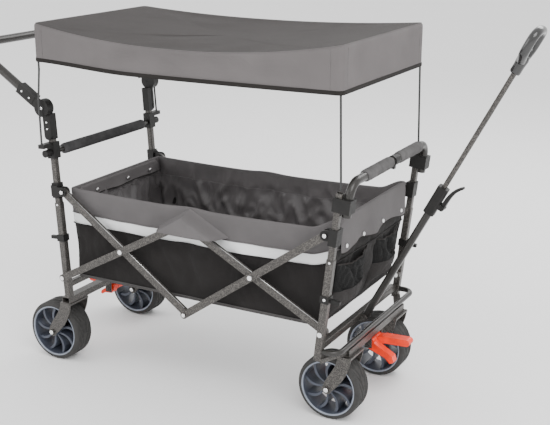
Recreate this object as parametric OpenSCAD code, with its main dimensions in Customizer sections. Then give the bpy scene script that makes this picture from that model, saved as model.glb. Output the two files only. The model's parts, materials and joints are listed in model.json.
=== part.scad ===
/* [Frame] */
// Distance from the middle of the wagon to the lower link pivots
pivot_reach = 442; // [430:1:450]
// Height of the lower link pivots above the ground
pivot_height = 291; // [288:1:294]
// Height of the lower centre pivot, where the falling links meet
lower_centre_height = 256; // [252:1:260]
// Height of the upper centre pivot, where the rising links meet
upper_centre_height = 528; // [522:1:534]
// Backward lean of the rear posts in degrees
rear_lean = 3.4; // [3:0.1:3.8]
// Forward lean of the front posts in degrees
front_lean = 6.9; // [6.6:0.1:7.2]
// Side of the square outer post tubes
post_outer = 21; // [20:0.5:22]
// Side of the square sliding post tubes
post_inner = 18; // [17:0.5:18]
// Width of the flat folding links
link_width = 22; // [18:1:24]

/* [Wheels] */
// Radius of the tyres
wheel_radius = 95; // [85:1:97]
// Width of the tyres
tyre_width = 75; // [60:1:76]
// Distance from the centre plane to the middle of each front wheel
front_wheel_y = 162; // [160:1:170]
// Distance from the centre plane to the middle of each rear wheel
rear_wheel_y = 212; // [208:1:216]
// Spokes in each rim
spoke_count = 9; // [5:1:12]

/* [Tub and canopy] */
// Height of the fabric tub's rim
rim_height = 570; // [560:1:580]
// Half of the width of the fabric tub
tub_half_width = 230; // [210:1:231]
// Height of the canopy roof
canopy_height = 1065; // [1060:1:1090]
// Height of the canopy's side flaps
valance_height = 124; // [90:1:126]

/* [Pull handle] */
// Angle of the pull handle above the ground in degrees
pull_angle = 62.1; // [58:0.1:66]
// Length from the pull pivot to the middle of the grip bar
pull_length = 962; // [955:1:980]

/* [Push handle] */
// Distance from the middle of the wagon to the push bar
push_reach = 732; // [715:1:740]
// Height of the push bar
push_height = 985; // [975:1:1000]

/* [Hidden] */
$fn = 48;

// Colours
frame_grey = "#4a4744";
plastic_black = "#232323";
foam_grey = "#77757a";
fabric_grey = "#827e7e";
fabric_black = "#2c2a2b";
pedal_orange = "#ff5422";
rim_blue = "#4a515f";
tyre_black = "#302f2d";
steel = "#c8c8c8";

// Running and sitting clearances
run_gap = 0.05;
slide_gap = 0.1;

// Posts: the rear pair stands inside the rising links, the front pair outside the falling ones
rear_post_y = 246;
front_post_y = 271;
tube_wall = 1.5;
corner_round = 3;
rear_post_foot = -68;
rear_post_top = 234;
front_post_foot = -79;
front_post_top = 215;
sliding_foot = -60;
rear_sliding_top = 503;
front_sliding_top = 400;

// Links: two layers of flat bar on each side
inner_layer = [248, 258];
outer_layer = [259.5, 269.5];
rivet_radius = 4;
rivet_head_radius = 7;
rivet_head_height = 3;
link_end_reach_rear = 430;
link_end_height_rear = 563;
link_end_reach_front = 450;
link_end_swell = 0.4;
rear_low = [-pivot_reach, pivot_height];
front_low = [pivot_reach, pivot_height];
upper_centre = [0, upper_centre_height];
lower_centre = [0, lower_centre_height];
rear_high = [-link_end_reach_rear, link_end_height_rear];
front_slope = 0.6947;
front_high = [link_end_reach_front, lower_centre_height + front_slope * link_end_reach_front];
rear_crossing = crossing(rear_low, upper_centre, rear_high, lower_centre);
front_crossing = crossing(front_low, upper_centre, front_high, lower_centre);

// Wheels and forks
axle_radius = 4;
hub_radius = 16;
rim_radius = 79.9;
tyre_bore = 80;
rim_width = 70;
hub_half_width = 39;
fork_inside = 40;
fork_plate = 4;
crown_bottom = 196;
crown_top = 202;
caster_x = 480;
caster_trail = 52;
rear_fork_x = -449;
rear_fork_trail = 58;
stem_radius = 6;
beam_bottom = 203;
beam_top = 223;
beam_wall = 2;
front_beam_half = 197;
rear_beam_half = 256;

// Brake pedals
pedal_shaft_x = 478;
pedal_shaft_z = 179;
pedal_lane = [1, 33];
release_lane = [-27, -1];

// Rear bar, knobs and push hinge, measured along the rear post
rear_bar_w = 391;
rear_clamp = [372, 421];
rear_bar_radius = 8;
foam_radius = 16.5;
push_hinge_w = 527;
push_hinge = along_rear(push_hinge_w);
push_disc_radius = 26;
push_tube_radius = 12.8;
push_arm_y = 269;
push_bend = 60;
push_socket = [34, 100];
push_vector = [-push_reach - push_hinge[0], push_height - push_hinge[1]];
push_run = norm(push_vector);
push_angle = atan2(push_vector[1], push_vector[0]);

// Front handlebar, measured along the front post
bar_w = 429;
bar_offset = 22;
bar_radius = 12;
bar_leg_y = 262;
bar_bend = 40;
bar_leg_w = 338;
bar_bracket = [350, 388];
bar_foam_radius = 17;
bar_clip_radius = 15;

// Canopy
canopy_half_length = 493;
canopy_half_width = 277;
canopy_skin = 3;
hoop_x = 483;
hoop_y = 269;
hoop_height = canopy_height - 9;
hoop_radius = 3;
joint_swell = 0.5;

// Floor boards
floor_reach = 404;
floor_front_reach = 394;
floor_half_width = 205;
floor_bottom = 296;
floor_top = 304;

// Pull handle
pull_x = 450;
pull_z = 244;
pull_pin_radius = 5;
slide_radius = 7;
grip_radius = 13;

// The origin lies under the middle of the whole wagon
front_extreme = pull_x + pull_length * cos(pull_angle) + grip_radius;
rear_extreme = -push_reach - push_tube_radius;
centre_shift = -(front_extreme + rear_extreme) / 2;

// Points of the frame in the X-Z plane
function crossing(a, b, c, d) =
    let (r = b - a, s = d - c, k = r[0] * s[1] - r[1] * s[0])
    a + r * (((c[0] - a[0]) * s[1] - (c[1] - a[1]) * s[0]) / k);
function along_rear(w) = [-pivot_reach - w * sin(rear_lean), pivot_height + w * cos(rear_lean)];
function bezier(p, t) =
    p[0] * pow(1 - t, 3) + 3 * p[1] * t * pow(1 - t, 2) + 3 * p[2] * t * t * (1 - t) + p[3] * pow(t, 3);
function curve(p, n) = [for (i = [0 : n]) bezier(p, i / n)];
function reversed(list) = [for (i = [len(list) - 1 : -1 : 0]) list[i]];

// Helpers
module placed() {
    translate([centre_shift, 0, 0]) children();
}

module on_side(side) {
    if (side > 0) children();
    else mirror([0, 1, 0]) children();
}

module both_sides() {
    children();
    mirror([0, 1, 0]) children();
}

module slab_xz(y_range) {
    translate([0, y_range[1], 0])
        rotate([90, 0, 0])
            linear_extrude(y_range[1] - y_range[0]) children();
}

module link_2d(p, q, width) {
    for (end = [p, q]) translate(end) circle(d = width + link_end_swell);
    translate(p)
        rotate(atan2(q[1] - p[1], q[0] - p[0]))
            translate([0, -width / 2]) square([norm(q - p), width]);
}

module soft_square(width, depth, round) {
    square([width, depth - 2 * round], center = true);
    square([width - 2 * round, depth], center = true);
    for (x = [-1, 1], y = [-1, 1])
        translate([x * (width / 2 - round), y * (depth / 2 - round)]) circle(round);
}

module square_tube(side, bore, low, high) {
    translate([0, 0, low])
        linear_extrude(high - low)
            difference() {
                soft_square(side, side, corner_round);
                square(bore, center = true);
            }
}

module rod(p, q, radius) {
    v = q - p;
    translate(p)
        rotate([0, acos(v[2] / norm(v)), atan2(v[1], v[0])])
            cylinder(r = radius, h = norm(v));
}

module y_cylinder(p, y_range, radius) {
    translate([p[0], y_range[0], p[1]])
        rotate([-90, 0, 0]) cylinder(r = radius, h = y_range[1] - y_range[0]);
}

module rear_post_frame() {
    translate([-pivot_reach, rear_post_y, pivot_height]) rotate([0, -rear_lean, 0]) children();
}

module front_post_frame(y = front_post_y) {
    translate([pivot_reach, y, pivot_height]) rotate([0, front_lean, 0]) children();
}

module pull_frame() {
    translate([pull_x, 0, pull_z]) rotate([0, 90 - pull_angle, 0]) children();
}

module rivet(p, y_range, head_ends) {
    y_cylinder(p, y_range, rivet_radius);
    for (end = head_ends)
        y_cylinder(p, end < 0 ? [y_range[0] - rivet_head_height, y_range[0]]
                              : [y_range[1], y_range[1] + rivet_head_height], rivet_head_radius);
}

// Rear frame: outer posts, beam, cross tube, forks
module rear_lower_posts() {
    color(frame_grey) placed() both_sides() rear_post_frame()
        square_tube(post_outer, post_inner + 2 * slide_gap, rear_post_foot, rear_post_top);
}

module axle_beam(x, half, width) {
    depth = beam_top - beam_bottom;
    translate([x, 0, beam_bottom + depth / 2]) rotate([90, 0, 0])
        linear_extrude(2 * half, center = true) difference() {
            square([width, depth], center = true);
            square([width - 2 * beam_wall, depth - 2 * beam_wall], center = true);
        }
}

module pedal_bracket(shaft_x) {
    for (side = [-1, 1])
        on_side(side) translate([shaft_x - 11, 35.5, pedal_shaft_z - 12])
            cube([22, 4, beam_bottom + 1 - pedal_shaft_z + 12]);
    y_cylinder([shaft_x, pedal_shaft_z], [-41, 41], rivet_radius);
}

module rear_axle_beam() {
    color(frame_grey) placed() difference() {
        union() {
            axle_beam(rear_fork_x + 4, rear_beam_half, 28);
            mirror([1, 0, 0]) pedal_bracket(-rear_fork_x);
        }
        both_sides() rear_post_frame()
            translate([0, 0, rear_post_foot + 50]) cube([post_outer, post_outer, 100], center = true);
    }
}

module rear_cross_tube() {
    tube_z = 264;
    color(frame_grey) placed()
        translate([along_rear(tube_z - pivot_height)[0], 0, tube_z])
            rotate([90, 0, 0]) linear_extrude(2 * (rear_post_y - post_outer / 2), center = true)
                difference() {
                    soft_square(18, 18, corner_round);
                    soft_square(15, 15, corner_round - tube_wall);
                }
}

module fork_2d(trail) {
    back = curve([[-20, crown_top], [-22, 160], [-trail - 6, 135], [-trail - 14, wheel_radius]], 12);
    front = curve([[20, crown_top], [16, 165], [2, 130], [-trail + 13, wheel_radius - 5]], 12);
    polygon(concat(back, reversed(front)));
    translate([-trail, wheel_radius]) circle(14);
}

module fork(trail) {
    both_sides() slab_xz([fork_inside, fork_inside + fork_plate]) difference() {
        fork_2d(trail);
        translate([-trail, wheel_radius]) circle(axle_radius + 0.3);
    }
    translate([-20, -fork_inside - fork_plate, crown_bottom])
        cube([40, 2 * (fork_inside + fork_plate), crown_top - crown_bottom]);
}

module axle_bolt(trail) {
    nut = fork_inside + fork_plate;
    y_cylinder([-trail, wheel_radius], [-nut - 3, nut + 3], axle_radius);
    both_sides() y_cylinder([-trail, wheel_radius], [nut + 0.3, nut + 6], 8);
}

module rear_forks() {
    color(frame_grey) placed() both_sides() translate([rear_fork_x, rear_wheel_y, 0]) {
        fork(rear_fork_trail);
        axle_bolt(rear_fork_trail);
    }
}

module rear_frame_rivets() {
    color(steel) placed() both_sides()
        rivet(rear_low, [rear_post_y + post_outer / 2, outer_layer[1] + 0.3], [1]);
}

module collar(w, toward) {
    difference() {
        union() {
            translate([-13, -13, w - 10]) cube([26, 26, 20]);
            translate([toward > 0 ? 12 : -42, -4, w - 6]) cube([30, 10, 10]);
        }
        translate([0, 0, w]) cube([post_outer + 0.1, post_outer + 0.1, 60], center = true);
    }
}

module rear_collars() {
    color(plastic_black) placed() both_sides() rear_post_frame() collar(124, -1);
}

// Wheels
module tyre(x, y) {
    shoulder = 12;
    half = tyre_width / 2;
    base = [wheel_radius - shoulder, half - shoulder];
    arc = [for (a = [0 : 15 : 90]) base + shoulder * [cos(a), sin(a)]];
    profile = concat([[tyre_bore, -half]], [for (p = reversed(arc)) [p[0], -p[1]]], arc, [[tyre_bore, half]]);
    color(tyre_black) placed() translate([x, y, wheel_radius]) rotate([90, 0, 0])
        rotate_extrude($fn = 72) polygon(profile);
}

module spoke_2d() {
    left = curve([[10, -3], [35, 14], [50, 20], [rim_radius - 3, 4]], 8);
    right = curve([[10, 3], [36, 21], [52, 28], [rim_radius - 3, 12]], 8);
    polygon(concat(left, reversed(right)));
}

module rim(x, y) {
    color(rim_blue) placed() translate([x, y, wheel_radius]) rotate([90, 0, 0]) {
        difference() {
            union() {
                difference() {
                    cylinder(r = rim_radius, h = rim_width, center = true, $fn = 72);
                    cylinder(r = rim_radius - 4, h = rim_width + 2, center = true, $fn = 72);
                }
                for (k = [0 : spoke_count - 1])
                    rotate(k * 360 / spoke_count) linear_extrude(rim_width - 16, center = true) spoke_2d();
                cylinder(r = hub_radius, h = 2 * hub_half_width, center = true);
            }
            cylinder(r = axle_radius + run_gap, h = 3 * hub_half_width, center = true);
        }
    }
}

module rear_tyre_near() tyre(rear_fork_x - rear_fork_trail, -rear_wheel_y);
module rear_tyre_far() tyre(rear_fork_x - rear_fork_trail, rear_wheel_y);
module rear_rim_near() rim(rear_fork_x - rear_fork_trail, -rear_wheel_y);
module rear_rim_far() rim(rear_fork_x - rear_fork_trail, rear_wheel_y);
module front_tyre_near() tyre(caster_x - caster_trail, -front_wheel_y);
module front_tyre_far() tyre(caster_x - caster_trail, front_wheel_y);
module front_rim_near() rim(caster_x - caster_trail, -front_wheel_y);
module front_rim_far() rim(caster_x - caster_trail, front_wheel_y);

// Foot pedals: the long one locks, the lower one releases
module lock_pedal(shaft_x) {
    tip = shaft_x + 112;
    shaft = [shaft_x, pedal_shaft_z];
    slab_xz(pedal_lane) difference() {
        union() {
            translate(shaft) circle(13);
            link_2d(shaft + [4, -2], [shaft_x + 30, pedal_shaft_z + 2], 20);
            link_2d([shaft_x + 30, pedal_shaft_z + 3], [tip - 12, pedal_shaft_z + 6], 20);
        }
        translate(shaft) circle(rivet_radius + run_gap);
    }
}

module release_pedal(shaft_x, reach = 1) {
    shaft = [shaft_x, pedal_shaft_z];
    slab_xz(release_lane) difference() {
        union() {
            translate(shaft) circle(13);
            polygon([shaft + [-12, -3], shaft + [-2, -20], shaft + reach * [48, -39],
                     shaft + reach * [64, -54], shaft + reach * [75, -48], shaft + reach * [70, -32],
                     shaft + [11, 2]]);
        }
        translate(shaft) circle(rivet_radius + run_gap);
    }
}

module front_lock_pedal() { color(pedal_orange) placed() lock_pedal(pedal_shaft_x); }
module front_release_pedal() { color(pedal_orange) placed() release_pedal(pedal_shaft_x); }
module rear_lock_pedal() { color(pedal_orange) placed() mirror([1, 0, 0]) lock_pedal(-rear_fork_x); }
module rear_release_pedal() {
    color(pedal_orange) placed() mirror([1, 0, 0]) release_pedal(-rear_fork_x, 0.55);
}

// Folding links: lift links rise from the low pivots, drop links fall from the high ones
module link_bars(p, q, bores, layer) {
    color(frame_grey) placed() both_sides() slab_xz(layer) difference() {
        link_2d(p, q, link_width);
        for (c = bores) translate(c) circle(rivet_radius + run_gap);
    }
}

module rear_lift_bars() link_bars(rear_low, upper_centre, [rear_low, rear_crossing, upper_centre], outer_layer);
module rear_drop_bars() {
    link_bars(rear_high, lower_centre, [rear_crossing], inner_layer);
    color(steel) placed() both_sides()
        y_cylinder(lower_centre, [inner_layer[0] - rivet_head_height, inner_layer[0]], rivet_head_radius);
}
module front_lift_bars() link_bars(front_low, upper_centre, [front_low, front_crossing, upper_centre], inner_layer);
module front_drop_bars() {
    link_bars(front_high, lower_centre, [front_crossing], outer_layer);
    color(steel) placed() both_sides()
        y_cylinder(lower_centre, [outer_layer[1], outer_layer[1] + rivet_head_height], rivet_head_radius);
}

module link_rivets(points) {
    color(steel) placed() both_sides() for (p = points)
        rivet(p, [inner_layer[0] - 0.3, outer_layer[1] + 0.3], [-1, 1]);
}

module rear_lift_rivets() link_rivets([rear_crossing, upper_centre]);
module front_lift_rivets() link_rivets([front_crossing]);

// Rear upper frame
module rear_upper_posts() {
    color(frame_grey) placed() both_sides() rear_post_frame()
        square_tube(post_inner, post_inner - 2 * tube_wall, sliding_foot, rear_sliding_top);
}

module sleeve_bore(size = 400) {
    cube([post_inner + 0.1, post_inner + 0.1, size], center = true);
}

module rear_slider_brackets() {
    inner_cheek = [241, inner_layer[0] - 0.6];
    outer_cheek = [inner_layer[1] + 0.6, 263];
    sleeve_w = [250, 296];
    color(plastic_black) placed() both_sides() difference() {
        union() {
            rear_post_frame()
                translate([-12, -12, sleeve_w[0]]) cube([24, 24.6, sleeve_w[1] - sleeve_w[0]]);
            for (cheek = [inner_cheek, outer_cheek])
                slab_xz(cheek) link_2d(rear_high + [-22, 0], rear_high, 28);
            rear_post_frame() translate([-12, 12, sleeve_w[0] + 6]) cube([24, 5, 34]);
            y_cylinder(rear_high, [inner_cheek[0] - rivet_head_height, inner_cheek[0]], rivet_head_radius);
            y_cylinder(rear_high, [outer_cheek[1], outer_cheek[1] + rivet_head_height], rivet_head_radius);
        }
        rear_post_frame() translate([0, 0, 270]) sleeve_bore();
    }
}

module rear_clamps() {
    color(plastic_black) placed() both_sides() rear_post_frame() difference() {
        union() {
            translate([-13, -15, rear_clamp[0]]) cube([26, 29, rear_clamp[1] - rear_clamp[0]]);
            translate([-12, 10, rear_clamp[1] - 12]) cube([22, 42, 12]);
        }
        translate([0, 0, 390]) sleeve_bore();
        translate([0, 0, rear_bar_w]) rotate([-90, 0, 0]) cylinder(r = 4 + run_gap, h = 40);
    }
}

module rear_bar_tube() {
    half = rear_post_y - 15;
    p = along_rear(rear_bar_w);
    color(frame_grey) placed() difference() {
        y_cylinder(p, [-half, half], rear_bar_radius);
        y_cylinder(p, [-half - 1, half + 1], rear_bar_radius - tube_wall);
    }
}

module rear_bar_foam() {
    p = along_rear(rear_bar_w);
    color(foam_grey) placed() difference() {
        y_cylinder(p, [-207, 207], foam_radius);
        y_cylinder(p, [-208, 208], rear_bar_radius + run_gap);
    }
}

module rear_knob(side) {
    p = along_rear(rear_bar_w);
    lobes = 10;
    color(plastic_black) placed() on_side(side) {
        y_cylinder(p, [256, 264], 4);
        translate([p[0], 264, p[1]]) rotate([-90, 0, 0]) linear_extrude(22) difference() {
            circle(11);
            for (k = [0 : lobes - 1]) rotate(k * 360 / lobes) translate([12.4, 0]) circle(2.2, $fn = 16);
        }
    }
}

module rear_knob_near() rear_knob(-1);
module rear_knob_far() rear_knob(1);

module rear_hinge_plates() {
    color(frame_grey) placed() both_sides() rear_post_frame() difference() {
        union() {
            translate([-12, -12, 430]) cube([24, 24, 76]);
            translate([0, 9, 0]) slab_xz([0, 9]) link_2d([0, 442], [0, push_hinge_w], 26);
            translate([0, 9, 0]) y_cylinder([0, push_hinge_w], [0, 13], push_disc_radius);
        }
        translate([0, 0, 400]) sleeve_bore(206);
        y_cylinder([0, push_hinge_w], [-20, 40], 5 + run_gap);
    }
}

module push_frame() {
    translate([push_hinge[0], 0, push_hinge[1]]) rotate([0, -push_angle, 0]) children();
}

module push_hinge_discs() {
    color(plastic_black) placed() both_sides() push_frame() {
        y_cylinder([0, 0], [256, 269], 5);
        y_cylinder([0, 0], [268.6, 281], push_disc_radius);
        slab_xz([268.6, 281]) translate([0, -15]) square([60, 30]);
        translate([push_socket[0], 255.5, -15]) cube([push_socket[1] - push_socket[0], 26.5, 30]);
    }
}

module push_arms() {
    color(frame_grey) placed() both_sides() push_frame()
        pipe([push_socket[1], push_arm_y, 0], [push_run - push_bend, push_arm_y, 0], push_tube_radius);
}

module pipe(p, q, radius) {
    difference() {
        rod(p, q, radius);
        rod(p - (q - p), q + (q - p), radius - tube_wall);
    }
}

module elbow(bend, radius) {
    rotate_extrude(angle = 90) translate([bend, 0]) difference() {
        circle(radius);
        circle(radius - tube_wall);
    }
}

module push_crossbar() {
    straight = push_arm_y - push_bend;
    color(frame_grey) placed() push_frame() {
        pipe([push_run, -straight, 0], [push_run, straight, 0], push_tube_radius);
        both_sides() translate([push_run - push_bend, straight, 0]) elbow(push_bend, push_tube_radius);
    }
}

module hoop(points) {
    n = len(points);
    both_sides() for (i = [0 : n - 2]) {
        rod(points[i], points[i + 1], hoop_radius);
        translate(points[i + 1]) sphere(hoop_radius + joint_swell, $fn = 24);
    }
    top = points[n - 1];
    rod([top[0], -top[1], top[2]], top, hoop_radius);
}

module rear_canopy_hoop() {
    foot = along_rear(rear_clamp[1]);
    color(plastic_black) placed() hoop([
        [foot[0] - 2, 293, foot[1] + 1], [foot[0] - 7, 288, 845],
        [-hoop_x + 2, hoop_y + 0.5, 930], [-hoop_x, hoop_y, hoop_height]]);
}

// Soft parts
module tub_basket() {
    outline = [[-411, 290], [414, 290], [440, 520], [474, 598], [469, 598], [438, rim_height], [-424, rim_height]];
    inside = [[-407, 294], [409, 294], [435, 520], [469.6, 600], [438, 606], [-419, 606]];
    color(fabric_black) placed() difference() {
        slab_xz([-tub_half_width, tub_half_width]) polygon(outline);
        slab_xz([-tub_half_width + 4, tub_half_width - 4]) polygon(inside);
    }
}

module canopy_cover() {
    low = canopy_height - valance_height;
    color(fabric_grey) placed() difference() {
        translate([-canopy_half_length, -canopy_half_width, low])
            cube([2 * canopy_half_length, 2 * canopy_half_width, valance_height]);
        translate([canopy_skin - canopy_half_length, canopy_skin - canopy_half_width, low - 1])
            cube([2 * (canopy_half_length - canopy_skin), 2 * (canopy_half_width - canopy_skin),
                  valance_height + 1 - canopy_skin]);
    }
}

// Front frame
module front_lower_posts() {
    color(frame_grey) placed() both_sides() front_post_frame()
        square_tube(post_outer, post_inner + 2 * slide_gap, front_post_foot, front_post_top);
}

module front_post_space() {
    both_sides() front_post_frame()
        translate([0, 0, front_post_foot + 60]) cube([post_outer, post_outer, 160], center = true);
}

module front_axle_beam() {
    color(frame_grey) placed() difference() {
        union() {
            axle_beam(caster_x, front_beam_half, 24);
            both_sides() translate([0, 0, beam_bottom + 4]) linear_extrude(12)
                link_2d([caster_x - 2, front_beam_half - 14], [438, front_post_y - 2], 22);
            pedal_bracket(pedal_shaft_x);
        }
        front_post_space();
        both_sides() translate([caster_x, front_wheel_y, 0])
            cylinder(r = stem_radius + run_gap, h = 300);
    }
}

module front_cross_tube() {
    half = front_post_y - post_outer / 2;
    ear = [11, 15];
    color(frame_grey) placed() {
        translate([428, 0, pull_z]) rotate([90, 0, 0]) linear_extrude(2 * half, center = true)
            difference() {
                soft_square(20, 20, corner_round);
                soft_square(17, 17, corner_round - tube_wall);
            }
        both_sides() slab_xz(ear) link_2d([442, pull_z], [pull_x, pull_z], 22);
        y_cylinder([pull_x, pull_z], [-18, 18], pull_pin_radius);
        both_sides() y_cylinder([pull_x, pull_z], [15, 18], 8);
    }
}

module bumper_tube() {
    bumper_z = 239;
    bumper_x = 490;
    bend = 30;
    radius = 8;
    color(frame_grey) placed() difference() {
        union() {
            pipe([bumper_x, bend - front_post_y, bumper_z], [bumper_x, front_post_y - bend, bumper_z], radius);
            both_sides() {
                translate([bumper_x - bend, front_post_y - bend, bumper_z]) elbow(bend, radius);
                pipe([440, front_post_y, bumper_z], [bumper_x - bend, front_post_y, bumper_z], radius);
            }
        }
        front_post_space();
    }
}

module front_frame_rivets() {
    color(steel) placed() both_sides() {
        rivet(front_low, [inner_layer[0] - 0.3, front_post_y - post_outer / 2], [-1]);
        y_cylinder(front_low, [front_post_y + post_outer / 2, front_post_y + post_outer / 2 + 3], rivet_head_radius);
    }
}

module front_collars() {
    color(plastic_black) placed() both_sides() front_post_frame() collar(103, 1);
}

module front_fork(side) {
    color(frame_grey) placed() translate([caster_x, side * front_wheel_y, 0]) {
        fork(caster_trail);
        axle_bolt(caster_trail);
        translate([0, 0, crown_bottom]) cylinder(r = stem_radius, h = 33);
        translate([0, 0, beam_top + 0.5]) cylinder(r = 9, h = 5.5);
    }
}

module front_fork_near() front_fork(-1);
module front_fork_far() front_fork(1);

// Front upper frame
module front_upper_posts() {
    color(frame_grey) placed() both_sides() front_post_frame()
        square_tube(post_inner, post_inner - 2 * tube_wall, sliding_foot, front_sliding_top);
}

module front_slider_brackets() {
    inner_cheek = [249, outer_layer[0] - 0.6];
    outer_cheek = [outer_layer[1] + 0.6, 276];
    color(plastic_black) placed() both_sides() difference() {
        union() {
            front_post_frame() translate([-12, -22, 255]) cube([24, 34, 46]);
            for (cheek = [inner_cheek, outer_cheek])
                slab_xz(cheek) link_2d(front_high, front_high + [22, 0], 28);
            y_cylinder(front_high, [inner_cheek[0] - rivet_head_height, inner_cheek[0]], rivet_head_radius);
            y_cylinder(front_high, [outer_cheek[1], outer_cheek[1] + rivet_head_height], rivet_head_radius);
        }
        front_post_frame() translate([0, 0, 270]) sleeve_bore();
    }
}

module front_brackets() {
    color(plastic_black) placed() both_sides() front_post_frame() difference() {
        translate([-13, -25, bar_bracket[0]]) cube([50, 38, bar_bracket[1] - bar_bracket[0]]);
        translate([0, 0, front_sliding_top - 100]) sleeve_bore(200);
        translate([bar_offset, bar_leg_y - front_post_y, 300]) cylinder(r = bar_radius + run_gap, h = 200);
    }
}

module handlebar_tube() {
    straight = bar_leg_y - bar_bend;
    color(frame_grey) placed() front_post_frame(0) translate([bar_offset, 0, 0]) {
        pipe([0, -straight, bar_w], [0, straight, bar_w], bar_radius);
        both_sides() {
            translate([0, straight, bar_w - bar_bend]) rotate([0, -90, 0]) elbow(bar_bend, bar_radius);
            pipe([0, bar_leg_y, bar_leg_w], [0, bar_leg_y, bar_w - bar_bend], bar_radius);
        }
    }
}

module bar_sleeve(y_range, radius) {
    front_post_frame(0) translate([bar_offset, 0, 0]) difference() {
        y_cylinder([0, bar_w], y_range, radius);
        y_cylinder([0, bar_w], [y_range[0] - 1, y_range[1] + 1], bar_radius + run_gap);
    }
}

module handlebar_grips() {
    color(foam_grey) placed() {
        bar_sleeve([-180, -8], bar_foam_radius);
        bar_sleeve([44, 208], bar_foam_radius);
    }
}

module handlebar_clip() {
    color(plastic_black) placed() {
        bar_sleeve([4, 32], bar_clip_radius);
        front_post_frame(0) translate([bar_offset, 18, bar_w - 18]) cube([14, 12, 12], center = true);
    }
}

module front_canopy_hoop() {
    top_of_post = front_sliding_top + 5.5;
    foot = [pivot_reach + top_of_post * sin(front_lean), hoop_y, pivot_height + top_of_post * cos(front_lean)];
    color(plastic_black) placed() hoop([foot, [hoop_x, hoop_y, hoop_height]]);
}

// Pull handle
module pull_tube() {
    color(frame_grey) placed() pull_frame() difference() {
        union() {
            linear_extrude(400) soft_square(20, 18, 5);
            y_cylinder([0, 0], [-9, 9], 10.5);
        }
        translate([0, 0, 22]) cylinder(r = slide_radius + slide_gap, h = 400);
        y_cylinder([0, 0], [-20, 20], pull_pin_radius + run_gap);
    }
}

module pull_clamp() {
    lever_w = 420;
    color(plastic_black) placed() pull_frame() difference() {
        union() {
            translate([0, 0, 385]) linear_extrude(87) soft_square(31, 27, 7);
            both_sides() slab_xz([8.5, 12.5]) link_2d([11, lever_w], [25, lever_w], 14);
        }
        translate([0, 0, 300]) linear_extrude(100.1) soft_square(20.1, 18.1, 5);
        cylinder(r = slide_radius + slide_gap, h = 600);
        y_cylinder([25, lever_w], [-20, 20], 3 + run_gap);
    }
}

module pull_lever() {
    lever_w = 420;
    inner = curve([[19, lever_w + 2], [19, lever_w + 40], [21, lever_w + 62], [44, lever_w + 84]], 8);
    outer = curve([[31, lever_w], [29, lever_w + 36], [31, lever_w + 58], [48, lever_w + 80]], 8);
    color(plastic_black) placed() pull_frame() {
        y_cylinder([25, lever_w], [-14, 14], 3);
        slab_xz([-8, 8]) {
            translate([25, lever_w]) circle(6.5);
            polygon(concat(inner, reversed(outer)));
        }
    }
}

module pull_slide_tube() {
    color(steel) placed() pull_frame() difference() {
        translate([0, 0, 335]) cylinder(r = slide_radius, h = 510);
        translate([0, 0, 334]) cylinder(r = slide_radius - tube_wall, h = 512);
    }
}

module pull_grip() {
    shoulder = [0, 44, pull_length - 38];
    corner = [0, 32, pull_length];
    color(plastic_black) placed() pull_frame() difference() {
        union() {
            translate([0, 0, pull_length - 124]) cylinder(r = 15, h = 36);
            rod([0, -corner[1], pull_length], corner, grip_radius);
            both_sides() {
                rod([0, 0, pull_length - 90], shoulder, grip_radius);
                rod(shoulder, corner, grip_radius);
                translate(shoulder) sphere(grip_radius + joint_swell);
                translate(corner) sphere(grip_radius + joint_swell);
            }
            translate([0, 0, pull_length - 92]) sphere(17);
        }
        translate([0, 0, pull_length - 125]) cylinder(r = slide_radius + run_gap, h = 8);
    }
}

// Floor boards inside the tub
module floor_board(x_range) {
    color(fabric_black) placed()
        translate([x_range[0], -floor_half_width, floor_bottom])
            cube([x_range[1] - x_range[0], 2 * floor_half_width, floor_top - floor_bottom]);
}

module floor_rear() floor_board([-floor_reach, -0.5]);
module floor_front() floor_board([0.5, floor_front_reach]);

rear_lower_posts();
rear_axle_beam();
rear_cross_tube();
rear_forks();
rear_frame_rivets();
rear_collars();
rear_tyre_near();
rear_rim_near();
rear_tyre_far();
rear_rim_far();
rear_lock_pedal();
rear_release_pedal();
rear_lift_bars();
rear_lift_rivets();
rear_drop_bars();
front_lift_bars();
front_lift_rivets();
front_drop_bars();
rear_upper_posts();
rear_slider_brackets();
rear_clamps();
rear_bar_tube();
rear_bar_foam();
rear_hinge_plates();
rear_canopy_hoop();
rear_knob_near();
rear_knob_far();
tub_basket();
canopy_cover();
push_hinge_discs();
push_arms();
push_crossbar();
front_lower_posts();
front_axle_beam();
front_cross_tube();
bumper_tube();
front_frame_rivets();
front_collars();
front_fork_near();
front_fork_far();
front_tyre_near();
front_rim_near();
front_tyre_far();
front_rim_far();
front_lock_pedal();
front_release_pedal();
front_upper_posts();
front_slider_brackets();
front_brackets();
handlebar_tube();
handlebar_grips();
handlebar_clip();
front_canopy_hoop();
pull_tube();
pull_clamp();
pull_lever();
pull_slide_tube();
pull_grip();
floor_rear();
floor_front();
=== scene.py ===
import json
import math

import bmesh
import bpy
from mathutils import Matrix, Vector, noise


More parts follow.
